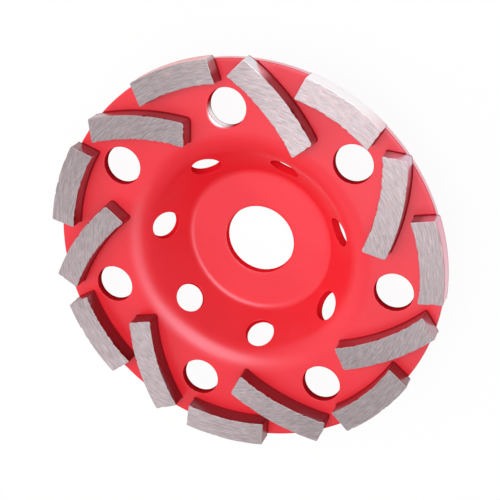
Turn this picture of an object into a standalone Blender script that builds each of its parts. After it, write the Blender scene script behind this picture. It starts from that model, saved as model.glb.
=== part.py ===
"""Diamond cup wheel: one pressed steel cup with a ring of vent holes, a ring of holes in its wall,
and two rings of curved abrasive segments brazed to its rim.

Run it with: blender --background --python part.py
Everything is in metres. The wheel lies on the back of its hub, its axis is Z, its grinding side
is up, and the first rim hole lies on +X.
"""

import math

import bmesh
import bpy
from mathutils import Euler, Matrix, Vector

# Pressed steel cup
SHEET = 0.0025  # thickness of the steel, the same all over
BORE_RADIUS = 0.011115  # fits a 22.23 mm spindle flange
BOWL_DEPTH = 0.0143  # from the rim's front face down to the hub's
WALL_SLOPE = math.radians(50.3)  # of the bowl's wall, up from the hub's face
RIM_WIDTH = 0.02652  # from the steel's edge in to the corner where rim and wall would meet, unbent
HUB_BEND = 0.0029  # inside radius of the bend round the hub
RIM_BEND = 0.008  # inside radius of the bend under the rim
EDGE_ROUND = 0.0003  # worn-off edge of the bore and of the rim

# Holes, each ring as many as there are segments in a ring
PITCH_COUNT = 7
RIM_HOLE_RADIUS = 0.00598
RIM_HOLE_INSET = 0.01465  # from the steel's edge in to their centres
WALL_HOLE_RADIUS = 0.00458  # these lie half way up the wall
WALL_HOLE_TURN = math.radians(24.2)  # turn from a rim hole to the next wall hole

# Abrasive segments
WHEEL_RADIUS = 0.0625  # over the rim segments
RIM_SEGMENT_OVERHANG = 0.00105  # how far they stand proud of the steel's edge
SEGMENT_WIDTH = 0.0074
SEGMENT_HEIGHT = 0.0052
BRAZE_GAP = 0.0003  # the film of braze between a segment and the rim
SEGMENT_CORNER = 0.0005
RIM_SEGMENT_LENGTH = 0.0259  # straight across the long side
RIM_SEGMENT_BACK_LENGTH = 0.0252  # straight across the short side
RIM_SEGMENT_TURN = math.radians(14.0)  # turn from a rim hole to the middle of the segment
LEAN_SEGMENT_LENGTH = 0.031
LEAN_SEGMENT_BACK_LENGTH = 0.0299
LEAN_SEGMENT_CURVE = 0.064  # radius of its own bow, along its middle line
LEAN_SEGMENT_INSET = 0.01155  # from the wheel's edge in to their middles
LEAN_SEGMENT_TURN = math.radians(32.8)
LEAN_ANGLE = math.radians(-36.3)  # turn of the bow's back from straight outwards
LEAN_TIP_CORNER = 0.0009  # rounder corners at the end that points to the hub

# Fineness of the round shapes
LATHE_STEPS = 98
BEND_STEPS = 5
ROUND_STEPS = 1
HOLE_STEPS = 32
SEGMENT_STEPS = 10
CORNER_STEPS = 3
SHARP_EDGE = math.radians(35)
SAME_POINT = 0.00001  # points closer than this are one point

# Places that follow from the sizes
HUB_FACE = SHEET
RIM_FACE = HUB_FACE + BOWL_DEPTH
BODY_RADIUS = WHEEL_RADIUS - RIM_SEGMENT_OVERHANG
RIM_CORNER_RADIUS = BODY_RADIUS - RIM_WIDTH
HUB_CORNER_RADIUS = RIM_CORNER_RADIUS - BOWL_DEPTH / math.tan(WALL_SLOPE)
PITCH = 2 * math.pi / PITCH_COUNT
RIM_HOLE_CIRCLE = BODY_RADIUS - RIM_HOLE_INSET
WALL_HOLE_CIRCLE = (HUB_CORNER_RADIUS + RIM_CORNER_RADIUS) / 2
WALL_HOLE_HEIGHT = (HUB_FACE + RIM_FACE) / 2
RIM_SEGMENT_CIRCLE = WHEEL_RADIUS - SEGMENT_WIDTH / 2
LEAN_SEGMENT_CIRCLE = WHEEL_RADIUS - LEAN_SEGMENT_INSET
CUT_MARGIN = 2 * SHEET  # how far a punch reaches past each face of the sheet


def clear_scene():
    for thing in list(bpy.data.objects):
        bpy.data.objects.remove(thing, do_unlink=True)


def new_material(name, colour, roughness, metallic):
    material = bpy.data.materials.new(name)
    material.use_nodes = True
    shader = material.node_tree.nodes["Principled BSDF"]
    shader.inputs["Base Color"].default_value = (*colour, 1.0)
    shader.inputs["Roughness"].default_value = roughness
    shader.inputs["Metallic"].default_value = metallic
    material.diffuse_color = (*colour, 1.0)
    return material


def new_object(name, mesh, *materials):
    piece = bpy.data.objects.new(name, mesh)
    bpy.context.scene.collection.objects.link(piece)
    if not mesh.materials:
        for material in materials:
            mesh.materials.append(material)
    return piece


def arc(centre, radius, start, end, steps):
    """Points of an arc in the (distance from the axis, height) plane, both ends included."""
    turns = [start + (end - start) * i / steps for i in range(steps + 1)]
    return [(centre[0] + radius * math.cos(a), centre[1] + radius * math.sin(a)) for a in turns]


def bends_at(depth):
    """The two bends of the sheet, from hub to rim, along the surface this deep below its front."""
    level = math.radians(90)
    hub_tangent = HUB_BEND * math.tan(WALL_SLOPE / 2)
    hub_centre = (HUB_CORNER_RADIUS - hub_tangent, HUB_FACE + HUB_BEND)
    front_radius = RIM_BEND + SHEET
    rim_tangent = front_radius * math.tan(WALL_SLOPE / 2)
    rim_centre = (RIM_CORNER_RADIUS + rim_tangent, RIM_FACE - front_radius)
    hub_bend = arc(hub_centre, HUB_BEND + depth, -level, WALL_SLOPE - level, BEND_STEPS)
    rim_bend = arc(rim_centre, front_radius - depth, level + WALL_SLOPE, level, BEND_STEPS)
    return hub_bend + rim_bend


def cup_section():
    """The closed section of the pressed sheet: out along the front, round the rim and back."""
    quarter = math.radians(90)
    outer = BODY_RADIUS - EDGE_ROUND
    inner = BORE_RADIUS + EDGE_ROUND
    rim_back = RIM_FACE - SHEET
    front_edge = arc((outer, RIM_FACE - EDGE_ROUND), EDGE_ROUND, quarter, 0, ROUND_STEPS)
    back_edge = arc((outer, rim_back + EDGE_ROUND), EDGE_ROUND, 0, -quarter, ROUND_STEPS)
    bore_back = arc((inner, EDGE_ROUND), EDGE_ROUND, -quarter, -2 * quarter, ROUND_STEPS)
    bore_front = arc((inner, HUB_FACE - EDGE_ROUND), EDGE_ROUND, 2 * quarter, quarter, ROUND_STEPS)
    return bends_at(0) + front_edge + back_edge + bends_at(SHEET)[::-1] + bore_back + bore_front


def punch_ring(name, radius, places):
    """One cutter with a round punch at each place."""
    shape = bmesh.new()
    for place in places:
        bmesh.ops.create_cone(
            shape,
            cap_ends=True,
            segments=HOLE_STEPS,
            radius1=radius,
            radius2=radius,
            depth=2 * (SHEET + CUT_MARGIN),
            matrix=place,
        )
    mesh = bpy.data.meshes.new(name)
    shape.to_mesh(mesh)
    shape.free()
    cutter = new_object(name, mesh)
    cutter.hide_render = True
    cutter.display_type = "WIRE"
    return cutter


def ring_places(first_turn, circle, height, tilt):
    """Where each hole of a ring lies, its own Z square to the sheet there."""
    places = []
    for i in range(PITCH_COUNT):
        turn = Matrix.Rotation(first_turn + i * PITCH, 4, "Z")
        places.append(turn @ Matrix.Translation((circle, 0, height)) @ Matrix.Rotation(-tilt, 4, "Y"))
    return places


def apply_modifiers(piece):
    graph = bpy.context.evaluated_depsgraph_get()
    shaped = bpy.data.meshes.new_from_object(piece.evaluated_get(graph))
    piece.modifiers.clear()
    piece.data = shaped
    shaped.shade_smooth()
    shaped.set_sharp_from_angle(angle=SHARP_EDGE)


def make_cup(paint):
    """Turns the section about the axis and punches both rings of holes."""
    points = [Vector((x, 0, z)) for x, z in cup_section()]
    edges = [(i, (i + 1) % len(points)) for i in range(len(points))]
    mesh = bpy.data.meshes.new("cup_body")
    mesh.from_pydata(points, edges, [])
    cup = new_object("cup_body", mesh, paint)

    lathe = cup.modifiers.new("lathe", "SCREW")
    lathe.steps = LATHE_STEPS
    lathe.render_steps = LATHE_STEPS
    lathe.use_merge_vertices = True
    lathe.merge_threshold = SAME_POINT

    rim_places = ring_places(0, RIM_HOLE_CIRCLE, RIM_FACE, 0)
    wall_places = ring_places(WALL_HOLE_TURN, WALL_HOLE_CIRCLE, WALL_HOLE_HEIGHT, WALL_SLOPE)
    punches = (
        punch_ring("rim_punch", RIM_HOLE_RADIUS, rim_places),
        punch_ring("wall_punch", WALL_HOLE_RADIUS, wall_places),
    )
    for punch in punches:
        cut = cup.modifiers.new(punch.name, "BOOLEAN")
        cut.operation = "DIFFERENCE"
        cut.object = punch
    apply_modifiers(cup)
    for punch in punches:
        bpy.data.objects.remove(punch, do_unlink=True)
    return cup


def segment_outline(curve, long_side, short_side):
    """A bowed bar about its own middle: its back is the arc at +X, and both its ends lie across Y."""
    back = curve + SEGMENT_WIDTH / 2
    front = curve - SEGMENT_WIDTH / 2
    back_turn = math.asin(long_side / 2 / back)
    front_turn = math.asin(short_side / 2 / front)
    centre = (-curve, 0)
    return (
        arc(centre, back, -back_turn, back_turn, SEGMENT_STEPS)
        + arc(centre, front, front_turn, -front_turn, SEGMENT_STEPS)
    )


def segment_mesh(name, outline, tip_corner):
    """Extrudes the outline and rounds its four upright corners; the tip is the end at -Y."""
    shape = bmesh.new()
    foot = shape.faces.new([shape.verts.new((x, y, 0)) for x, y in outline])
    pushed = bmesh.ops.extrude_face_region(shape, geom=[foot])
    risen = [v for v in pushed["geom"] if isinstance(v, bmesh.types.BMVert)]
    bmesh.ops.translate(shape, verts=risen, vec=(0, 0, SEGMENT_HEIGHT))
    bmesh.ops.recalc_face_normals(shape, faces=shape.faces)

    ends = (SEGMENT_STEPS, SEGMENT_STEPS + 1)
    corner_points = [outline[i] for i in (*ends, 0, -1)]
    for points, radius in ((corner_points[:2], SEGMENT_CORNER), (corner_points[2:], tip_corner)):
        corners = [e for e in shape.edges if stands_on(e, points)]
        bmesh.ops.bevel(
            shape,
            geom=corners,
            offset=radius,
            offset_type="OFFSET",
            segments=CORNER_STEPS,
            profile=0.5,
            affect="EDGES",
        )
    for face in shape.faces:
        face.material_index = 0 if face.normal.z > math.cos(SHARP_EDGE) else 1
    mesh = bpy.data.meshes.new(name)
    shape.to_mesh(mesh)
    shape.free()
    mesh.shade_smooth()
    mesh.set_sharp_from_angle(angle=SHARP_EDGE)
    return mesh


def stands_on(edge, points):
    """Whether the edge is the upright one over one of these points of the outline."""
    low, high = (v.co for v in edge.verts)
    upright = (low.xy - high.xy).length < SAME_POINT
    return upright and any((low.xy - Vector(point)).length < SAME_POINT for point in points)


def place_segments(name, mesh, first_turn, circle, lean, cup, materials):
    """Seats one copy of the segment on the rim at each pitch."""
    for i in range(PITCH_COUNT):
        turn = first_turn + i * PITCH
        segment = new_object(f"{name}_{i + 1}", mesh, *materials)
        segment.location = (circle * math.cos(turn), circle * math.sin(turn), RIM_FACE + BRAZE_GAP)
        segment.rotation_euler = Euler((0, 0, turn + lean))
        segment.parent = cup


def main():
    clear_scene()
    paint = new_material("red_paint", (0.83, 0.03, 0.045), 0.32, 0.0)
    ground = new_material("ground_segment", (0.46, 0.42, 0.42), 0.5, 0.8)
    cup = make_cup(paint)

    rim_outline = segment_outline(RIM_SEGMENT_CIRCLE, RIM_SEGMENT_LENGTH, RIM_SEGMENT_BACK_LENGTH)
    rim_mesh = segment_mesh("rim_segment", rim_outline, SEGMENT_CORNER)
    place_segments(
        "rim_segment", rim_mesh, RIM_SEGMENT_TURN, RIM_SEGMENT_CIRCLE, 0, cup, (ground, paint)
    )
    lean_outline = segment_outline(
        LEAN_SEGMENT_CURVE, LEAN_SEGMENT_LENGTH, LEAN_SEGMENT_BACK_LENGTH
    )
    lean_mesh = segment_mesh("leaning_segment", lean_outline, LEAN_TIP_CORNER)
    place_segments(
        "leaning_segment",
        lean_mesh,
        LEAN_SEGMENT_TURN,
        LEAN_SEGMENT_CIRCLE,
        LEAN_ANGLE,
        cup,
        (ground, paint),
    )


main()
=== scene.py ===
import math
import random

import bmesh
import bpy
from mathutils import Matrix, Vector, noise


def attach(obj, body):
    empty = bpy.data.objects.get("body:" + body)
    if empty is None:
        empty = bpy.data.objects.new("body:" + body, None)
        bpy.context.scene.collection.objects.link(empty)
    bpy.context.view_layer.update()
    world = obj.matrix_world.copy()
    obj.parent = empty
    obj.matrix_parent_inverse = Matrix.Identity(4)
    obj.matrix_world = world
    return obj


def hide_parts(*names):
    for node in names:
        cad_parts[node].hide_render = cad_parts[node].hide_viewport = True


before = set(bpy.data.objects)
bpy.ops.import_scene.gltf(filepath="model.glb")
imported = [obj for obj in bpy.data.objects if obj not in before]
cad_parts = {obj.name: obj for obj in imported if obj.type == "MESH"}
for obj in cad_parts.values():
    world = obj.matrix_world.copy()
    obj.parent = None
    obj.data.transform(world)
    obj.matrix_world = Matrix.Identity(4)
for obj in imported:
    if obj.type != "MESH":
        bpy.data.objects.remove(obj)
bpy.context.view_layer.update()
mm = 0.001  # the wheel is worked out in millimetres and made in metres
pitchCount = sum(name.startswith("rim_segment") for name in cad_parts)
pitch = 2 * math.pi / pitchCount


# Small tools

def arc(centre, radius, start, end, steps):
    # points of an arc, both ends included, angles in degrees
    turns = [math.radians(start + (end - start) * i / steps) for i in range(steps + 1)]
    return [(centre[0] + radius * math.cos(t), centre[1] + radius * math.sin(t)) for t in turns]


def spread(start, end, steps):
    # evenly spaced values, the end left out
    return [start + (end - start) * i / steps for i in range(steps)]


def finishPiece(name, shape, materials):
    bmesh.ops.recalc_face_normals(shape, faces=shape.faces)
    mesh = bpy.data.meshes.new(name)
    shape.to_mesh(mesh)
    shape.free()
    for material in materials:
        mesh.materials.append(material)
    piece = bpy.data.objects.new(name, mesh)
    bpy.context.scene.collection.objects.link(piece)
    return piece


def joinRings(shape, first, second, slots):
    # one strip of quads between two closed rings of as many points, with a material slot for each quad
    count = len(first)
    for i in range(count):
        j = (i + 1) % count
        face = shape.faces.new((first[i], first[j], second[j], second[i]))
        face.smooth = True
        face.material_index = slots[i]


# Shader tools

def addNode(tree, kind, **settings):
    made = tree.nodes.new(kind)
    for key, value in settings.items():
        setattr(made, key, value)
    return made


def feed(tree, socket, value):
    if isinstance(value, bpy.types.NodeSocket):
        tree.links.new(value, socket)
    else:
        socket.default_value = value


def compute(tree, operation, first, second):
    made = addNode(tree, "ShaderNodeMath", operation=operation)
    feed(tree, made.inputs[0], first)
    feed(tree, made.inputs[1], second)
    return made.outputs[0]


def remap(tree, value, fromLow, fromHigh, toLow, toHigh, smooth=False):
    made = addNode(tree, "ShaderNodeMapRange", interpolation_type="SMOOTHSTEP" if smooth else "LINEAR")
    for name, given in zip(("Value", "From Min", "From Max", "To Min", "To Max"),
                           (value, fromLow, fromHigh, toLow, toHigh)):
        feed(tree, made.inputs[name], given)
    return made.outputs["Result"]


def blendColours(tree, factor, first, second, mode="MIX"):
    made = addNode(tree, "ShaderNodeMix", data_type="RGBA", blend_type=mode)
    feed(tree, made.inputs[0], factor)
    feed(tree, made.inputs[6], first)  # 6, 7 and output 2 are the node's sockets for colours
    feed(tree, made.inputs[7], second)
    return made.outputs[2]


def vectorNode(tree, operation, *vectors):
    made = addNode(tree, "ShaderNodeVectorMath", operation=operation)
    for socket, vector in zip(made.inputs, vectors):
        feed(tree, socket, vector)
    return made.outputs


def noiseTexture(tree, vector, **values):
    made = addNode(tree, "ShaderNodeTexNoise")
    feed(tree, made.inputs["Vector"], vector)
    for label, value in values.items():
        feed(tree, made.inputs[label], value)
    return made.outputs["Fac"]


def newGroup(name, vectors, values, outputs):
    # a group's tree with its named sockets, its input node and its output node
    tree = bpy.data.node_groups.new(name, "ShaderNodeTree")
    for label in vectors:
        tree.interface.new_socket(label, in_out="INPUT", socket_type="NodeSocketVector")
    for label in values:
        tree.interface.new_socket(label, in_out="INPUT", socket_type="NodeSocketFloat")
    for label in outputs:
        tree.interface.new_socket(label, in_out="OUTPUT", socket_type="NodeSocketFloat")
    return tree, tree.nodes.new("NodeGroupInput"), tree.nodes.new("NodeGroupOutput")


def useGroup(tree, group, **values):
    made = addNode(tree, "ShaderNodeGroup", node_tree=group)
    for label, value in values.items():
        feed(tree, made.inputs[label], value)
    return made.outputs


def newMaterial(name):
    material = bpy.data.materials.new(name)
    material.use_nodes = True
    tree = material.node_tree
    place = addNode(tree, "ShaderNodeTexCoord").outputs["Object"]
    return material, tree, tree.nodes["Principled BSDF"], place


def addBump(tree, shader, height, strength, distance):
    bump = addNode(tree, "ShaderNodeBump")
    bump.inputs["Strength"].default_value = strength
    bump.inputs["Distance"].default_value = distance
    feed(tree, bump.inputs["Height"], height)
    feed(tree, shader.inputs["Normal"], bump.outputs["Normal"])


# Effects that several finishes use

effects = {
    "peelDetail": 2.0,
    "driftDetail": 3.0,
    "driftRange": (0.3, 0.7),  # the part of the noise's range that is stretched to 0 to 1
    "marksDetail": 2.0,
    "marksRoughness": 0.6,
    "marksRange": (0.25, 0.75),
    "wornDetail": 3.0,
    "wornBorder": (0.8, 1.2),  # shares of the reach between which the bare edge fades
}


def fromAxis(tree, place):
    # how far a place is from the wheel's axis, and in which direction
    flat = vectorNode(tree, "MULTIPLY", place, (1.0, 1.0, 0.0))["Vector"]
    return vectorNode(tree, "LENGTH", flat)["Value"], vectorNode(tree, "NORMALIZE", flat)["Vector"]


def sprayGrainGroup():
    # the faint orange peel of sprayed paint, and how its tone drifts from place to place
    tree, given, out = newGroup("spray grain", ["Vector"], ["Peel", "Drift"], ["Tone", "Height"])
    place = given.outputs["Vector"]
    peel = noiseTexture(tree, place, Scale=given.outputs["Peel"], Detail=effects["peelDetail"])
    drift = noiseTexture(tree, place, Scale=given.outputs["Drift"], Detail=effects["driftDetail"])
    feed(tree, out.inputs["Tone"], remap(tree, drift, *effects["driftRange"], 0.0, 1.0))
    feed(tree, out.inputs["Height"], peel)
    return tree


def grindMarksGroup():
    # broken scratches that run round the wheel's axis, so many across and round
    tree, given, out = newGroup("grind marks", ["Vector"], ["Across", "Round"], ["Tone"])
    distance, facing = fromAxis(tree, given.outputs["Vector"])
    parts = addNode(tree, "ShaderNodeSeparateXYZ")
    feed(tree, parts.inputs[0], facing)
    place = addNode(tree, "ShaderNodeCombineXYZ")
    for i in range(2):
        feed(tree, place.inputs[i], compute(tree, "MULTIPLY", parts.outputs[i], given.outputs["Round"]))
    feed(tree, place.inputs[2], compute(tree, "MULTIPLY", distance, given.outputs["Across"]))
    marks = noiseTexture(tree, place.outputs[0], Scale=1.0, Detail=effects["marksDetail"],
                         Roughness=effects["marksRoughness"])
    feed(tree, out.inputs["Tone"], remap(tree, marks, *effects["marksRange"], 0.0, 1.0))
    return tree


def wornEdgeGroup():
    # 1 where an edge is rubbed bare and 0 further away, with a ragged border
    tree, given, out = newGroup("worn edge", ["Vector"], ["Distance", "Reach", "Ragged", "Scale"],
                                ["Mask"])
    texture = noiseTexture(tree, given.outputs["Vector"], Scale=given.outputs["Scale"],
                           Detail=effects["wornDetail"])
    swing = compute(tree, "SUBTRACT", texture, 0.5)
    swing = compute(tree, "MULTIPLY", swing, given.outputs["Ragged"])
    border = compute(tree, "ADD", given.outputs["Distance"], swing)
    share = compute(tree, "DIVIDE", border, given.outputs["Reach"])
    feed(tree, out.inputs["Mask"], remap(tree, share, *effects["wornBorder"], 1.0, 0.0, smooth=True))
    return tree


def oneSideGroup():
    # 1 on one side of the wheel and far from its axis, fading to 0 round it and inwards
    tree, given, out = newGroup("one side", ["Vector", "Towards"],
                                ["Start", "Full", "Inner", "Outer"], ["Mask"])
    distance, facing = fromAxis(tree, given.outputs["Vector"])
    towards = vectorNode(tree, "DOT_PRODUCT", facing, given.outputs["Towards"])["Value"]
    onSide = remap(tree, towards, given.outputs["Start"], given.outputs["Full"],
                   0.0, 1.0, smooth=True)
    outwards = remap(tree, distance, given.outputs["Inner"], given.outputs["Outer"],
                     0.0, 1.0, smooth=True)
    feed(tree, out.inputs["Mask"], compute(tree, "MULTIPLY", onSide, outwards))
    return tree


# Finishes

paintLook = {
    "colour": (0.89, 0.011, 0.021, 1.0),
    "thinColour": (0.84, 0.008, 0.017, 1.0),  # where the coat drifts a shade darker
    "roughness": (0.30, 0.36),
    "specular": 1.0,
    "glossTint": (0.72, 0.83, 0.98, 1.0),
    "coat": 0.0,
    "coatIor": 1.5,
    "coatRoughness": 0.26,
    "peel": 700.0,  # grains a metre
    "drift": 45.0,
    "bump": 0.12,
    "bumpHeight": 0.02 * mm,
}

holePaintLook = dict(
    paintLook,
    # darker copies of the red paint: painted shade on the rim holes' walls
    colour=(0.66, 0.009, 0.016, 1.0),
    thinColour=(0.56, 0.008, 0.014, 1.0),
    deepShadeColour=(0.30, 0.006, 0.010, 1.0),  # painted shade, darkest near the back of the hole
    deepShadeFrom=(0.1, 0.9),  # share of the sheet's thickness
    specular=0.0,
)

paintedLipHighlightLook = {  # a painted highlight: pale, nearly white metal on one side of the lip and wall of the rim hole that the punch drew in
    "paintedLipHighlightColour": (0.98, 0.88, 0.90, 1.0),
    "paintedLipHighlightShare": (0.05, 0.75),
    "paintedLipHighlightMetal": 0.95,
}

borePaintLook = dict(
    paintLook,
    colour=(0.80, 0.011, 0.020, 1.0),
    thinColour=(0.70, 0.009, 0.017, 1.0),
    specular=0.0,
)

brazeLook = dict(
    paintLook,
    # a darker, duller copy of the red paint: painted contact shade at each segment's foot
    colour=(0.42, 0.008, 0.014, 1.0),
    thinColour=(0.34, 0.006, 0.011, 1.0),
    roughness=(0.55, 0.65),
    specular=0.2,
)

sidePaintLook = dict(
    paintLook,
    # a much darker copy of the red paint: painted shade on the segments' sides
    colour=(0.31, 0.007, 0.012, 1.0),
    thinColour=(0.24, 0.005, 0.009, 1.0),
    coat=0.8,
    coatIor=1.7,
    coatRoughness=0.18,
    coatTowards=-25.0,  # the side where the coat is thick, in degrees from +X towards +Y
    coatShare=(-0.75, -0.1),  # cosines of how far round from there it starts and is full
    coatRadii=(-1.0 * mm, 0.0),  # at any radius
    bareColour=(0.50, 0.42, 0.42, 1.0),  # along the top edge
    bareReach=0.16 * mm,
    bareRagged=0.35 * mm,
    bareScale=1100.0,
    bareMetal=0.6,
    bareRough=0.1,
    rubbedAndHighlightColour=(0.78, 0.42, 0.49, 1.0),  # near the outside, where it was ground to size, kept to one side of the wheel: wear together with a painted highlight
    rubbedTowards=-55.0,
    rubbedShare=(0.35, 0.85),
    rubbedRadii=(57.0 * mm, 59.5 * mm),
    rubbedAndHighlightMetal=0.9,
    paintedHighlightColour=(1.0, 0.97, 0.98, 1.0),  # a near-white painted highlight, where that side is palest
    paleTowards=-20.0,
    paleShare=(0.82, 0.94),
    paleRadii=(57.0 * mm, 59.5 * mm),
)

outerPaintLook = dict(  # the rim segments' outer faces
    sidePaintLook,
    colour=paintLook["colour"],
    thinColour=paintLook["thinColour"],
    glossTint=(1.0, 0.96, 0.98, 1.0),
    coat=0.6,
    coatIor=1.9,
    coatRoughness=0.16,
    rubbedAndHighlightColour=(0.78, 0.28, 0.37, 1.0),
)

edgePaintLook = dict(  # the steel's edge, pink metal on one side of it: partly wear, partly a painted highlight
    outerPaintLook,
    rubbedAndHighlightColour=(0.86, 0.36, 0.43, 1.0),
    rubbedAndHighlightMetal=0.6,
    paintedHighlightColour=(0.86, 0.36, 0.43, 1.0),
)

groundLook = {
    "colour": (0.515, 0.433, 0.448, 1.0),
    "darkColour": (0.30, 0.25, 0.27, 1.0),
    "lightColour": (0.80, 0.70, 0.71, 1.0),
    "warmTint": (1.07, 0.97, 0.96, 1.0),  # the matrix is a shade pinker or bluer from place to place
    "coolTint": (0.94, 1.02, 1.05, 1.0),
    "metallic": 0.9,
    "roughness": (0.42, 0.52),
    "roughTones": (0.2, 0.8),  # tones of the scratches where the roughness starts and is full
    "darkTones": (0.3, 0.5),
    "darkMost": 0.65,
    "lightTones": (0.5, 0.7),
    "lightMost": 0.5,
    "tintTones": (0.3, 0.7),
    "anisotropy": 0.68,
    "fine": 7000.0,  # scratches a metre, across
    "coarse": 3000.0,
    "round": 17.0,
    "speckle": 4200.0,
    "tint": 1500.0,
    "drift": 60.0,
    "fineWeight": 0.3,
    "coarseWeight": 0.4,
    "speckleWeight": 0.3,
    "bump": 0.15,
    "bumpHeight": 0.02 * mm,
}


def paintMaterial(name, look, groups, topHeight=None):
    material, tree, shader, place = newMaterial(name)
    grain = useGroup(tree, groups["grain"], Vector=place, Peel=look["peel"], Drift=look["drift"])
    colour = blendColours(tree, grain["Tone"], look["thinColour"], look["colour"])
    rough = remap(tree, grain["Tone"], 0.0, 1.0, *look["roughness"])
    if "deepShadeColour" in look:  # painted shade, darker towards the back of a hole
        depth = addNode(tree, "ShaderNodeAttribute", attribute_name="depth").outputs["Fac"]
        deep = remap(tree, depth, *look["deepShadeFrom"], 0.0, 1.0, smooth=True)
        colour = blendColours(tree, deep, colour, look["deepShadeColour"])
    # a painted highlight on the drawn lip of one rim hole, placed by the drawn attribute
    if "paintedLipHighlightColour" in look:
        drawn = addNode(tree, "ShaderNodeAttribute", attribute_name="drawn").outputs["Fac"]
        drawn = remap(tree, drawn, *look["paintedLipHighlightShare"], 0.0, 1.0, smooth=True)
        colour = blendColours(tree, drawn, colour, look["paintedLipHighlightColour"])
        feed(tree, shader.inputs["Metallic"], compute(tree, "MULTIPLY", drawn, look["paintedLipHighlightMetal"]))

    def sideMask(label):
        # 1 on the side of the wheel that the finish names, outside the radii that it names
        turn = math.radians(look[label + "Towards"])
        start, full = look[label + "Share"]
        inner, outer = look[label + "Radii"]
        return useGroup(tree, groups["side"], Vector=place, Start=start, Full=full, Inner=inner,
                        Outer=outer, Towards=(math.cos(turn), math.sin(turn), 0.0))["Mask"]

    if topHeight is None:
        shader.inputs["Coat Weight"].default_value = look["coat"]
    else:  # worn down to the metal at the top edge, and on one side of the outside, where the pale metal is also a painted highlight
        parts = addNode(tree, "ShaderNodeSeparateXYZ")
        feed(tree, parts.inputs[0], place)
        below = compute(tree, "SUBTRACT", topHeight, parts.outputs[2])
        bare = useGroup(tree, groups["worn"], Vector=place, Distance=below, Reach=look["bareReach"],
                        Ragged=look["bareRagged"], Scale=look["bareScale"])["Mask"]
        # worn metal on one side of the outside, paling to a painted highlight
        rubbed = sideMask("rubbed")
        bright = blendColours(tree, sideMask("pale"), look["rubbedAndHighlightColour"], look["paintedHighlightColour"])
        colour = blendColours(tree, bare, colour, look["bareColour"])
        colour = blendColours(tree, rubbed, colour, bright)
        rough = compute(tree, "ADD", rough, compute(tree, "MULTIPLY", bare, look["bareRough"]))
        metal = compute(tree, "MAXIMUM", compute(tree, "MULTIPLY", bare, look["bareMetal"]),
                        compute(tree, "MULTIPLY", rubbed, look["rubbedAndHighlightMetal"]))
        feed(tree, shader.inputs["Metallic"], metal)
        covered = compute(tree, "SUBTRACT", 1.0, bare)
        thick = compute(tree, "MULTIPLY", sideMask("coat"), look["coat"])
        feed(tree, shader.inputs["Coat Weight"], compute(tree, "MULTIPLY", covered, thick))
    feed(tree, shader.inputs["Base Color"], colour)
    feed(tree, shader.inputs["Roughness"], rough)
    shader.inputs["Specular IOR Level"].default_value = look["specular"]
    shader.inputs["Specular Tint"].default_value = look["glossTint"]
    shader.inputs["Coat IOR"].default_value = look["coatIor"]
    shader.inputs["Coat Roughness"].default_value = look["coatRoughness"]
    addBump(tree, shader, grain["Height"], look["bump"], look["bumpHeight"])
    return material


def groundMaterial(name, look, groups):
    material, tree, shader, place = newMaterial(name)
    fine = useGroup(tree, groups["marks"], Vector=place, Across=look["fine"], Round=look["round"])
    coarse = useGroup(tree, groups["marks"], Vector=place, Across=look["coarse"], Round=look["round"])
    speckle = useGroup(tree, groups["grain"], Vector=place, Peel=look["speckle"], Drift=look["drift"])
    hue = useGroup(tree, groups["grain"], Vector=place, Peel=look["tint"], Drift=look["drift"])
    tone = compute(tree, "ADD", compute(tree, "MULTIPLY", fine["Tone"], look["fineWeight"]),
                   compute(tree, "MULTIPLY", coarse["Tone"], look["coarseWeight"]))
    tone = compute(tree, "ADD", tone,
                   compute(tree, "MULTIPLY", speckle["Height"], look["speckleWeight"]))
    dark = remap(tree, tone, *look["darkTones"], look["darkMost"], 0.0)
    light = remap(tree, tone, *look["lightTones"], 0.0, look["lightMost"])
    colour = blendColours(tree, dark, look["colour"], look["darkColour"])
    colour = blendColours(tree, light, colour, look["lightColour"])
    warm = remap(tree, hue["Height"], *look["tintTones"], 0.0, 1.0)
    tint = blendColours(tree, warm, look["coolTint"], look["warmTint"])
    colour = blendColours(tree, 1.0, colour, tint, mode="MULTIPLY")
    feed(tree, shader.inputs["Base Color"], colour)
    feed(tree, shader.inputs["Roughness"], remap(tree, tone, *look["roughTones"], *look["roughness"]))
    shader.inputs["Metallic"].default_value = look["metallic"]
    shader.inputs["Anisotropic"].default_value = look["anisotropy"]
    feed(tree, shader.inputs["Tangent"], place)  # the gloss spreads across the scratches
    addBump(tree, shader, tone, look["bump"], look["bumpHeight"])
    return material


# The pressed cup, in millimetres and degrees

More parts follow.
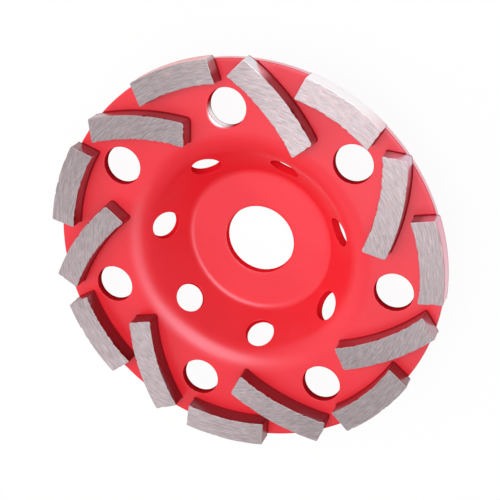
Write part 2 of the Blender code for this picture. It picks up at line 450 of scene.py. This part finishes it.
cup = {
    "sheet": 2.5,
    "boreRadius": 11.115,
    "bodyRadius": 61.38,
    "bowlDepth": 14.3,
    "wallSlope": 50.3,
    "rimCorner": 34.93,  # radius where wall and rim would meet, unbent
    "hubBend": 2.9,
    "rimBend": 10.5,
    "edgeRound": 0.3,
    "rimHoleRadius": 5.98,
    "rimHoleCircle": 46.8,
    "wallHoleRadius": 4.58,
    "wallHoleTurn": 24.2,
    "wallHoleReach": 6.0,  # half the length of grid that a wall hole takes up
    "frontLip": 0.15,  # rounding of a punched hole's front edge
    "backLip": 0.08,
    "holeTaper": 0.15,  # how much narrower the rim holes and the bore are at the back
    "wallBackLip": 0.6,  # the wall holes break out wider at the back
    "drawnLip": 1.25,  # how far the punch has drawn the sheet in, at one rim hole
    "drawnLipDepth": 0.22,
    "drawnLipTurn": 134.0,  # where round the hole it is drawn in most
    "drawnLipFade": 3,  # more keeps it to a shorter stretch round the hole
    "drawnLipBow": 1.3,  # 1 is a straight slope, more steepens it inwards
    "columns": 56,  # of the surface grid, for each pitch
    "gapWidth": 1.04,  # of the gap in the grid round a hole, as a share of its length
    "hubRows": 9,
    "hubBendRows": 8,
    "edgeRows": 8,
    "rowGap": 0.55,  # between the other rows that no hole takes up
    "roundSteps": 4,
    "boreShares": (0.3, 0.5, 0.7),  # of the sheet's thickness, where the bore has a row
    "wallShares": (0.2, 0.4, 0.6, 0.8),  # the same in a punched hole
    "apronShares": (0.75, 0.52, 0.32, 0.16, 0.05),  # of the way from a hole's lip to the grid
    "settling": 12,  # rounds that bring a point onto the sheet's face
    "edgeBand": 0.03,  # faces this near the edge or the bore have its finish
    "slots": {"face": 0, "rimHole": 1, "edge": 2, "bore": 3},  # the order of the finishes
}

hubFace = cup["sheet"]
rimFace = hubFace + cup["bowlDepth"]
slope = math.radians(cup["wallSlope"])
hubCorner = cup["rimCorner"] - cup["bowlDepth"] / math.tan(slope)
hubTangent = cup["hubBend"] * math.tan(slope / 2)
rimTangent = cup["rimBend"] * math.tan(slope / 2)
hubCentre = (hubCorner - hubTangent, hubFace + cup["hubBend"])
rimCentre = (cup["rimCorner"] + rimTangent, rimFace - cup["rimBend"])
wallStart = (hubCentre[0] + cup["hubBend"] * math.sin(slope),
             hubCentre[1] - cup["hubBend"] * math.cos(slope))
wallLength = cup["bowlDepth"] / math.sin(slope) - hubTangent - rimTangent

# how far along the front face each stretch ends, from the bore outwards
hubEnd = hubCentre[0] - cup["boreRadius"]
hubBendEnd = hubEnd + slope * cup["hubBend"]
wallEnd = hubBendEnd + wallLength
rimBendEnd = wallEnd + slope * cup["rimBend"]
frontEnd = rimBendEnd + cup["bodyRadius"] - rimCentre[0]


def sheetPoint(along, depth):
    # (radius, height) so far along the front face and so deep below it
    if along < hubEnd:
        return cup["boreRadius"] + along, hubFace - depth
    if along < hubBendEnd:
        turn, reach = (along - hubEnd) / cup["hubBend"], cup["hubBend"] + depth
        return hubCentre[0] + reach * math.sin(turn), hubCentre[1] - reach * math.cos(turn)
    if along < wallEnd:
        run = along - hubBendEnd
        return (wallStart[0] + run * math.cos(slope) + depth * math.sin(slope),
                wallStart[1] + run * math.sin(slope) - depth * math.cos(slope))
    if along < rimBendEnd:
        turn, reach = slope - (along - wallEnd) / cup["rimBend"], cup["rimBend"] - depth
        return rimCentre[0] - reach * math.sin(turn), rimCentre[1] + reach * math.cos(turn)
    return rimCentre[0] + along - rimBendEnd, rimFace - depth


def sheetPlace(radius, height):
    # the reverse: (along, depth) of a point in or near the sheet
    if radius < hubCentre[0]:
        return radius - cup["boreRadius"], hubFace - height
    if radius > rimCentre[0]:
        return rimBendEnd + radius - rimCentre[0], rimFace - height
    out, up = radius - hubCentre[0], hubCentre[1] - height
    if math.atan2(out, up) < slope:
        return hubEnd + math.atan2(out, up) * cup["hubBend"], math.hypot(out, up) - cup["hubBend"]
    out, up = rimCentre[0] - radius, height - rimCentre[1]
    if math.atan2(out, up) < slope:
        turn = slope - math.atan2(out, up)
        return wallEnd + turn * cup["rimBend"], cup["rimBend"] - math.hypot(out, up)
    out, up = radius - wallStart[0], height - wallStart[1]
    return (hubBendEnd + out * math.cos(slope) + up * math.sin(slope),
            out * math.sin(slope) - up * math.cos(slope))


def rolled(radius, height, angle):
    return Vector((radius * math.cos(angle), radius * math.sin(angle), height))


def layRings(shape, rings, depths, drawnRings=None):
    # rings of points become rings of vertices, each with its depth as a share of the sheet
    # and with how much the punch has drawn it in
    depthLayer = shape.verts.layers.float["depth"]
    drawnLayer = shape.verts.layers.float["drawn"]
    made = []
    for i, (ring, depth) in enumerate(zip(rings, depths)):
        made.append([shape.verts.new(point * mm) for point in ring])
        for j, vertex in enumerate(made[-1]):
            vertex[depthLayer] = depth
            # the drawn share also places the painted lip highlight in the finishes
            vertex[drawnLayer] = drawnRings[i][j] if drawnRings else 0.0
    return made


def punchedHole(shape, hole, angle, frontEdge, backEdge):
    # fills the gap in the grid round one hole: the sheet's front, the lips, the hole's wall, the back
    radius, height = sheetPoint(hole["along"], 0)
    centre = rolled(radius, height, angle)
    axis = rolled(-math.sin(hole["tilt"]), math.cos(hole["tilt"]), angle)
    side = rolled(1, 0, angle + math.pi / 2)
    up = side.cross(axis)
    spokes = []
    for vertex, along, turn in frontEdge:
        gap = vertex.co / mm - centre
        spokes.append(math.atan2(gap.dot(side), gap.dot(up)))

    undrawn = [0.0] * len(spokes)
    drawnShares = undrawn
    if hole["tilt"] == 0 and angle == 0:  # the one rim hole with a drawn lip
        drawnTurn = math.radians(cup["drawnLipTurn"])
        drawnShares = [max(0.0, math.cos(spoke - drawnTurn)) ** cup["drawnLipFade"] for spoke in spokes]

    def onSheet(reach, spoke, depth):
        point = centre + reach * (math.cos(spoke) * up + math.sin(spoke) * side)
        for _ in range(cup["settling"]):
            point += (sheetPlace(math.hypot(point.x, point.y), point.z)[1] - depth) * axis
        return point

    def lip(rounding, depth, inward, drawn, taper=0.0):
        # rings of points from the sheet's face over the lip and into the hole
        rings = [[] for _ in range(hole["lipSteps"] + 1)]
        for spoke, drawnIn in zip(spokes, drawn):
            width = rounding + (cup["drawnLip"] - rounding) * drawnIn
            start = onSheet(hole["radius"] - taper + width, spoke, depth)
            corner = onSheet(hole["radius"] - taper, spoke, depth)
            out, down = start - corner, inward * (rounding + drawnIn * cup["drawnLipDepth"])
            for i, ring in enumerate(rings):
                share = i / hole["lipSteps"]
                turn = math.radians(90) * share
                left, fall = 1 - math.sin(turn), 1 - math.cos(turn)
                left += (1 - share - left) * drawnIn  # a slope in place of a rounding
                fall += (share ** cup["drawnLipBow"] - fall) * drawnIn
                ring.append(corner + out * left + down * fall)
        return rings

    def apron(edge, ring, depth):
        # rings over the sheet's face, from the grid's edge in to the lip
        rings = []
        for share in cup["apronShares"]:
            made = []
            for (vertex, along, turn), point in zip(edge, ring):
                startAlong = sheetPlace(math.hypot(point.x, point.y), point.z)[0]
                startTurn = angle + math.remainder(math.atan2(point.y, point.x) - angle, 2 * math.pi)
                radius, height = sheetPoint(startAlong + (along - startAlong) * share, depth)
                made.append(rolled(radius, height, startTurn + (turn - startTurn) * share))
            rings.append(made)
        return rings

    front = lip(cup["frontLip"], 0, -axis, drawnShares)
    back = lip(hole["backLip"], cup["sheet"], axis, undrawn, taper=hole["taper"])
    middle = [[start.lerp(end, share) for start, end in zip(front[-1], back[-1])]
              for share in cup["wallShares"]]
    frontApron = apron(frontEdge, front[0], 0)
    backRings = back[::-1] + apron(backEdge, back[0], cup["sheet"])[::-1]
    fading = [[share * i / hole["lipSteps"] for share in drawnShares] for i in range(len(front))]
    rings = [[vertex for vertex, along, turn in frontEdge]]
    rings += layRings(shape, frontApron, [0.0] * len(frontApron))
    rings += layRings(shape, front, [0.0] * len(front), fading)
    rings += layRings(shape, middle, cup["wallShares"], [drawnShares] * len(middle))
    rings += layRings(shape, backRings, [1.0] * len(backRings))
    rings.append([vertex for vertex, along, turn in backEdge])

    # the hole's own finish goes from half way over the front lip to the end of the back one
    wallFrom = len(frontApron) + len(front) - hole["lipSteps"] // 2
    wallTo = len(frontApron) + len(front) + len(middle) + len(back)
    for i in range(len(rings) - 1):
        slot = hole["slot"] if wallFrom <= i < wallTo else cup["slots"]["face"]
        joinRings(shape, rings[i], rings[i + 1], [slot] * len(spokes))


def makeCup(materials):
    wallHole = {
        "radius": cup["wallHoleRadius"],
        "along": hubBendEnd + cup["bowlDepth"] / 2 / math.sin(slope) - hubTangent,
        "tilt": slope,
        "turn": math.radians(cup["wallHoleTurn"]),
        "reach": cup["wallHoleReach"],
        "rowCount": 16,
        "lipSteps": 4,
        "backLip": cup["wallBackLip"],
        "taper": 0.0,
        "slot": cup["slots"]["bore"],
    }
    rimHole = {
        "radius": cup["rimHoleRadius"],
        "along": rimBendEnd + cup["rimHoleCircle"] - rimCentre[0],
        "tilt": 0,
        "turn": 0,
        "reach": cup["rimHoleCircle"] - rimCentre[0],
        "rowCount": 20,
        "lipSteps": 6,
        "backLip": cup["backLip"],
        "taper": cup["holeTaper"],
        "slot": cup["slots"]["rimHole"],
    }
    holes = [wallHole, rimHole]

    # rows of the grid, each so far along the front face
    alongs = spread(cup["edgeRound"], hubEnd, cup["hubRows"])
    alongs += spread(hubEnd, hubBendEnd, cup["hubBendRows"])
    reached = hubBendEnd
    for hole in holes:
        low, high = hole["along"] - hole["reach"], hole["along"] + hole["reach"]
        alongs += spread(reached, low, max(1, round((low - reached) / cup["rowGap"])))
        hole["rows"] = (len(alongs), len(alongs) + hole["rowCount"])
        alongs += spread(low, high, hole["rowCount"])
        reached = high
    lastRow = frontEnd - cup["edgeRound"]
    alongs += spread(reached, lastRow, cup["edgeRows"]) + [lastRow]

    # the sheet's whole section as a loop: front face, edge, back face, bore
    body, bore, rounding, sheet = cup["bodyRadius"], cup["boreRadius"], cup["edgeRound"], cup["sheet"]
    steps = cup["roundSteps"]
    outer = (arc((body - rounding, rimFace - rounding), rounding, 90, 0, steps)[1:]
             + arc((body - rounding, rimFace - sheet + rounding), rounding, 0, -90, steps)[:-1])
    inner = arc((bore - cup["holeTaper"] + rounding, rounding), rounding, -90, -180, steps)[1:]
    inner += [(bore - cup["holeTaper"] * (1 - share), sheet * share) for share in cup["boreShares"]]
    inner += arc((bore + rounding, hubFace - rounding), rounding, 180, 90, steps)[:-1]
    loops = ([sheetPoint(along, 0) for along in alongs] + outer
             + [sheetPoint(along, sheet) for along in reversed(alongs)] + inner)
    backOf = 2 * len(alongs) + len(outer) - 1  # a front row's number and its back row's add up to this

    shape = bmesh.new()
    shape.verts.layers.float.new("depth")
    shape.verts.layers.float.new("drawn")
    columns = cup["columns"] * pitchCount
    step = 2 * math.pi / columns
    points = [[rolled(radius, height, j * step) for j in range(columns)] for radius, height in loops]
    grid = layRings(shape, points, [0.0] * len(loops))

    def gapEdge(hole, firstColumn, lastColumn, back):
        # the grid's points round one gap, in order, as (vertex, along, angle)
        low, high = hole["rows"]
        path = [(low, j) for j in range(firstColumn, lastColumn)]
        path += [(i, lastColumn) for i in range(low, high)]
        path += [(high, j) for j in range(lastColumn, firstColumn, -1)]
        path += [(i, firstColumn) for i in range(high, low, -1)]
        return [(grid[backOf - i if back else i][j % columns], alongs[i], j * step) for i, j in path]

    gaps = set()
    for hole in holes:
        radius = sheetPoint(hole["along"], 0)[0]
        half = round(hole["reach"] * cup["gapWidth"] / (radius * step))
        for k in range(pitchCount):
            angle = hole["turn"] + k * pitch
            firstColumn = round(angle / step) - half
            lastColumn = firstColumn + 2 * half
            for i in range(*hole["rows"]):
                for j in range(firstColumn, lastColumn):
                    gaps.add((i, j % columns))
                    gaps.add((backOf - i - 1, j % columns))
            edges = [gapEdge(hole, firstColumn, lastColumn, back) for back in (False, True)]
            punchedHole(shape, hole, angle, *edges)

    for i in range(len(loops)):
        nextRow = (i + 1) % len(loops)
        middle = (loops[i][0] + loops[nextRow][0]) / 2
        part = "face"
        if middle > body - cup["edgeBand"]:
            part = "edge"
        elif middle < bore + cup["edgeBand"]:
            part = "bore"
        for j in range(columns):
            if (i, j) in gaps:
                continue
            k = (j + 1) % columns
            face = shape.faces.new((grid[i][j], grid[i][k], grid[nextRow][k], grid[nextRow][j]))
            face.smooth = True
            face.material_index = cup["slots"][part]
    piece = finishPiece("cupBody", shape, materials)
    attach(piece, "root")
    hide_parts("cup_body")


# The abrasive segments, in millimetres and degrees

segment = {
    "width": 7.4,
    "height": 5.19,
    "pointGap": 0.3,  # between points of the outline
    "cornerShares": (0.25, 0.5, 0.75),  # where a rounded corner has its points
    "edgeRound": 0.14,  # of the top's edge
    "edgeTurns": (0, 30, 60, 90),  # where that rounding has its rows
    "sideDrops": (3.4, 2.4, 1.7, 1.15, 0.75, 0.45, 0.28),  # below the top, where the sides have rows
    "brazeGap": 0.3,
    "brazeSpread": 0.35,
    "brazeHeight": 0.6,
    "brazeStrips": 7,  # strips of faces with the braze's finish, from the rim up
    "rimMargin": 0.2,  # the braze stops this far from the steel's edge
    "footHeights": (-0.02, 0.05, 0.12, 0.2, 0.28),  # above the rim, rows that keep that margin
    "flareHeights": (0.3, 0.4, 0.52, 0.68),
    "waver": 0.02,  # how much a segment's sides wander
    "waverGrain": 0.9,  # swells a millimetre
    "waverApart": 7.3,  # how far apart two segments are in the noise
    "waverDrop": 3.0,  # how far below the top it dies out
    "chips": {"front": 13, "back": 4, "ends": 2},  # how many, on each side
    "chipWidth": (0.35, 1.1),
    "chipDepth": (0.06, 0.27),
    "chipDrop": (0.4, 1.3),  # how far below the top a chip reaches
    "chipFlat": 2.2,  # more gives a chip a flatter bottom
    "cornerKept": 1.0,  # the wear dies out over this distance from a corner
    "chipClear": 1.2,  # times that distance, nearer than which no chip has its middle
    "slots": {"top": 0, "side": 1, "outer": 2, "braze": 3},  # the order of the finishes
}
wheelRadius = 62.35
rimSegment = {
    "piece": "rimSegment",
    "node": "rim_segment",
    "long": 25.9,  # straight across its back, from end to end
    "short": 25.2,  # the same across its front
    "curve": wheelRadius - segment["width"] / 2,  # radius of its own middle line
    "circle": wheelRadius - segment["width"] / 2,  # radius that it stands at
    "turn": 14.0,  # from the nearest rim hole
    "lean": 0.0,
    "corner": 0.5,
    "tipCorner": 0.5,
    "outside": "back",  # the side that faces away from the axis
    "seed": 11,
}
leaningSegment = {
    "piece": "leaningSegment",
    "node": "leaning_segment",
    "long": 31.0,
    "short": 29.9,
    "curve": 64.0,
    "circle": 50.80,
    "turn": 32.8,
    "lean": -36.3,
    "corner": 0.5,
    "tipCorner": 0.9,
    "outside": "",
    "seed": 47,
}


def segmentOutline(form):
    # closed outline as (point, side): its back is the arc at +X, its tip the end at -Y
    back, front = form["curve"] + segment["width"] / 2, form["curve"] - segment["width"] / 2
    backTurn = math.asin(form["long"] / 2 / back)
    frontTurn = math.asin(form["short"] / 2 / front)

    def pointAt(radius, turn):
        return Vector((radius * math.cos(turn) - form["curve"], radius * math.sin(turn)))

    def curved(radius, start, end):
        steps = max(2, round(abs(end - start) * radius / segment["pointGap"]))
        return [pointAt(radius, turn) for turn in spread(start, end, steps) + [end]]

    def straight(first, second, cut):
        length = (second - first).length
        steps = round((length - 2 * cut) / segment["pointGap"])
        shares = spread(cut / length, 1 - cut / length, steps) + [1 - cut / length]
        return [first.lerp(second, share) for share in shares]

    def corner(before, point, after):
        return [before.lerp(point, share).lerp(point.lerp(after, share), share)
                for share in segment["cornerShares"]]

    trim, tipTrim = form["corner"], form["tipCorner"]
    sharp = [pointAt(back, backTurn), pointAt(front, frontTurn),
             pointAt(front, -frontTurn), pointAt(back, -backTurn)]
    backArc = curved(back, -backTurn + tipTrim / back, backTurn - trim / back)
    farEnd = straight(sharp[0], sharp[1], trim)
    frontArc = curved(front, frontTurn - trim / front, -frontTurn + tipTrim / front)
    tipEnd = straight(sharp[2], sharp[3], tipTrim)
    parts = [("back", backArc), ("ends", corner(backArc[-1], sharp[0], farEnd[0])), ("ends", farEnd),
             ("ends", corner(farEnd[-1], sharp[1], frontArc[0])), ("front", frontArc),
             ("ends", corner(frontArc[-1], sharp[2], tipEnd[0])), ("ends", tipEnd),
             ("ends", corner(tipEnd[-1], sharp[3], backArc[0]))]
    return [(point, side) for side, points in parts for point in points]


def makeSegment(form, number, materials):
    chance = random.Random(form["seed"] * 100 + number)
    outline = segmentOutline(form)
    points = [point for point, side in outline]
    sides = [side for point, side in outline]
    count = len(points)
    outward = []
    for i in range(count):
        along = points[(i + 1) % count] - points[i - 1]
        outward.append(Vector((along.y, -along.x)).normalized())

    corners = [points[i] for i in range(count) if sides[i] != sides[i - 1]]
    kept = [min((point - corner).length for corner in corners) / segment["cornerKept"]
            for point in points]
    chips = []
    for side, wanted in segment["chips"].items():
        places = [i for i in range(count) if sides[i] == side and kept[i] > segment["chipClear"]]
        for _ in range(wanted):
            chips.append((points[chance.choice(places)], chance.uniform(*segment["chipWidth"]),
                          chance.uniform(*segment["chipDepth"]), chance.uniform(*segment["chipDrop"])))

    def chipped(i, below):
        # how far the outline is worn in here, so far below the top
        worn = 0.0
        for centre, width, depth, drop in chips:
            near = 1 - (points[i] - centre).length / width
            if near > 0 and below < drop:
                worn = max(worn, depth * min(1, near * segment["chipFlat"]) * (1 - below / drop))
        place = Vector((points[i].x * segment["waverGrain"], points[i].y * segment["waverGrain"],
                        number * segment["waverApart"] + form["seed"]))
        swell = segment["waver"] * (1 + noise.noise(place))
        worn += swell * (1 - min(1, below / segment["waverDrop"]))
        return worn * min(1, kept[i])

    turn = math.radians(form["turn"]) + (number - 1) * pitch
    spin = Matrix.Rotation(turn + math.radians(form["lean"]), 4, "Z")
    move = Matrix.Translation(rolled(form["circle"], 0, turn)) @ spin
    top = rimFace + segment["brazeGap"] + segment["height"]
    shape = bmesh.new()

    def ring(height, wider, reach=None):
        made = []
        for i in range(count):
            flat = points[i] + outward[i] * (wider - chipped(i, top - height))
            place = move @ Vector((flat.x, flat.y, height))
            if reach is not None and math.hypot(place.x, place.y) > reach:
                place.xy = place.xy.normalized() * reach
            made.append(shape.verts.new(place * mm))
        return made

    def flare(height):
        # how far the braze spreads out, so high above the rim
        share = 1 - min(1, max(0, height) / segment["brazeHeight"])
        return segment["brazeSpread"] * share ** 2

    rings = []
    for height in segment["footHeights"]:
        rings.append(ring(rimFace + height, flare(height), cup["bodyRadius"] - segment["rimMargin"]))
    for height in segment["flareHeights"]:
        rings.append(ring(rimFace + height, flare(height)))
    for below in segment["sideDrops"]:
        rings.append(ring(top - below, 0))
    rounding = segment["edgeRound"]
    for degrees in segment["edgeTurns"]:
        lift = math.radians(degrees)
        rings.append(ring(top - rounding * (1 - math.sin(lift)), -rounding * (1 - math.cos(lift))))

    slots = segment["slots"]
    sideSlots = [slots["outer"] if side == form["outside"] else slots["side"] for side in sides]
    footSlots = [slots["outer"] if side == form["outside"] else slots["braze"] for side in sides]
    for i in range(len(rings) - 1):
        chosen = footSlots if i < segment["brazeStrips"] else sideSlots
        joinRings(shape, rings[i], rings[i + 1], chosen)
    shape.faces.new(rings[-1]).material_index = slots["top"]
    shape.faces.new(rings[0][::-1]).material_index = slots["braze"]

    node = f"{form['node']}_{number}"
    piece = finishPiece(f"{form['piece']}{number}", shape, materials)
    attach(piece, "root")
    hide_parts(node)


# Floor, light and camera

stageLook = {
    "floorSize": 8.0,  # metres
    "floorDrop": 0.05 * mm,  # below the wheel
    "floorColour": (0.9, 0.9, 0.9, 1.0),
    "whiteShare": 0.95,  # how much of the floor is plain white to the camera; the rest takes shadow
    "worldLevel": 0.32,
    "worldColour": (1.0, 1.0, 1.0, 1.0),
}
lamps = {  # degrees from +X towards +Y, degrees from overhead, metres, and how bright white looks
    "topSoftbox": {"azimuth": -6.0, "polar": 14.0, "distance": 0.8, "size": 0.57, "level": 0.50,
                   "inReflections": True},
    "lowerSoftbox": {"azimuth": -151.0, "polar": 20.0, "distance": 0.8, "size": 0.5, "level": 0.17,
                     "inReflections": True},
    "sideSoftbox": {"azimuth": 85.0, "polar": 62.0, "distance": 0.9, "size": 0.8, "level": 0.22,
                    "inReflections": False},
    "sidePanel": {"azimuth": 85.0, "polar": 50.0, "distance": 1.2, "size": 2.4, "level": 0.36,
                  "inReflections": True},
}
camera = {  # metres and degrees, and the lens and the sensor's width in millimetres
    "aim": (-0.0007, 0.00084, 0.00965),
    "azimuth": -44.56,
    "elevation": 60.51,
    "distance": 0.3766,
    "nearest": 0.01,
    "roll": 138.24,
    "lens": 87.48,
    "sensor": 36.0,
}


def direction(azimuth, elevation):
    turn, lift = math.radians(azimuth), math.radians(elevation)
    return Vector((math.cos(turn) * math.cos(lift), math.sin(turn) * math.cos(lift), math.sin(lift)))


def makeFloor():
    half = stageLook["floorSize"] / 2
    shape = bmesh.new()
    corners = ((-half, -half), (half, -half), (half, half), (-half, half))
    shape.faces.new([shape.verts.new((x, y, -stageLook["floorDrop"])) for x, y in corners])
    material = bpy.data.materials.new("whiteFloor")
    material.use_nodes = True
    tree = material.node_tree
    tree.nodes.remove(tree.nodes["Principled BSDF"])
    paper = addNode(tree, "ShaderNodeBsdfDiffuse")
    paper.inputs["Color"].default_value = stageLook["floorColour"]
    white = addNode(tree, "ShaderNodeEmission")
    rays = addNode(tree, "ShaderNodeLightPath")
    seen = compute(tree, "MAXIMUM", rays.outputs["Is Camera Ray"], rays.outputs["Is Glossy Ray"])
    seen = compute(tree, "MAXIMUM", seen, rays.outputs["Is Transmission Ray"])
    mixed = addNode(tree, "ShaderNodeMixShader")
    feed(tree, mixed.inputs[0], compute(tree, "MULTIPLY", seen, stageLook["whiteShare"]))
    feed(tree, mixed.inputs[1], paper.outputs[0])
    feed(tree, mixed.inputs[2], white.outputs[0])
    feed(tree, tree.nodes["Material Output"].inputs["Surface"], mixed.outputs[0])
    finishPiece("floor", shape, [material])


def makeLamp(name, lamp):
    data = bpy.data.lights.new(name, "AREA")
    data.shape = "DISK"
    data.size = lamp["size"]
    data.energy = lamp["level"] * (math.pi * lamp["distance"]) ** 2  # level 1 shows white as white
    made = bpy.data.objects.new(name, data)
    away = direction(lamp["azimuth"], 90 - lamp["polar"])
    made.location = away * lamp["distance"]
    made.rotation_euler = away.to_track_quat("Z", "Y").to_euler()
    made.visible_glossy = lamp["inReflections"]
    made.visible_camera = False
    bpy.context.scene.collection.objects.link(made)


def makeWorld():
    world = bpy.data.worlds.new("softRoom")
    world.use_nodes = True
    tree = world.node_tree
    room = tree.nodes["Background"]
    room.inputs["Color"].default_value = stageLook["worldColour"]
    seen = addNode(tree, "ShaderNodeLightPath").outputs["Is Camera Ray"]  # plain white behind the floor
    feed(tree, room.inputs["Strength"], remap(tree, seen, 0.0, 1.0, stageLook["worldLevel"], 1.0))
    bpy.context.scene.world = world


def makeCamera():
    data = bpy.data.cameras.new("camera")
    data.lens = camera["lens"]
    data.sensor_width = camera["sensor"]
    data.clip_start = camera["nearest"]
    made = bpy.data.objects.new("camera", data)
    away = direction(camera["azimuth"], camera["elevation"])
    turned = away.to_track_quat("Z", "Y").to_matrix() @ Matrix.Rotation(
        math.radians(-camera["roll"]), 3, "Z")
    made.matrix_world = Matrix.Translation(
        Vector(camera["aim"]) + away * camera["distance"]) @ turned.to_4x4()
    bpy.context.scene.collection.objects.link(made)
    bpy.context.scene.camera = made


makeCamera()
makeFloor()
makeWorld()
for name, lamp in lamps.items():
    makeLamp(name, lamp)
print("stage, light and camera ready")

groups = {"grain": sprayGrainGroup(), "marks": grindMarksGroup(), "worn": wornEdgeGroup(),
          "side": oneSideGroup()}
redPaint = paintMaterial("redPaint", dict(paintLook, **paintedLipHighlightLook), groups)
holePaint = paintMaterial("holePaint", dict(holePaintLook, **paintedLipHighlightLook), groups)
borePaint = paintMaterial("borePaint", borePaintLook, groups)
topHeight = (rimFace + segment["brazeGap"] + segment["height"]) * mm
sidePaint = paintMaterial("sidePaint", sidePaintLook, groups, topHeight)
outerPaint = paintMaterial("outerPaint", outerPaintLook, groups, topHeight)
edgePaint = paintMaterial("edgePaint", edgePaintLook, groups, topHeight)
brazePaint = paintMaterial("brazePaint", brazeLook, groups)
groundMetal = groundMaterial("groundMetal", groundLook, groups)
print("finishes ready")

makeCup([redPaint, holePaint, edgePaint, borePaint])  # in the order of the cup's slots
print("cup ready")

for form in (rimSegment, leaningSegment):
    for number in range(1, pitchCount + 1):
        makeSegment(form, number, [groundMetal, sidePaint, outerPaint, brazePaint])
print("segments ready")

bpy.context.scene.view_settings.view_transform = "Standard"
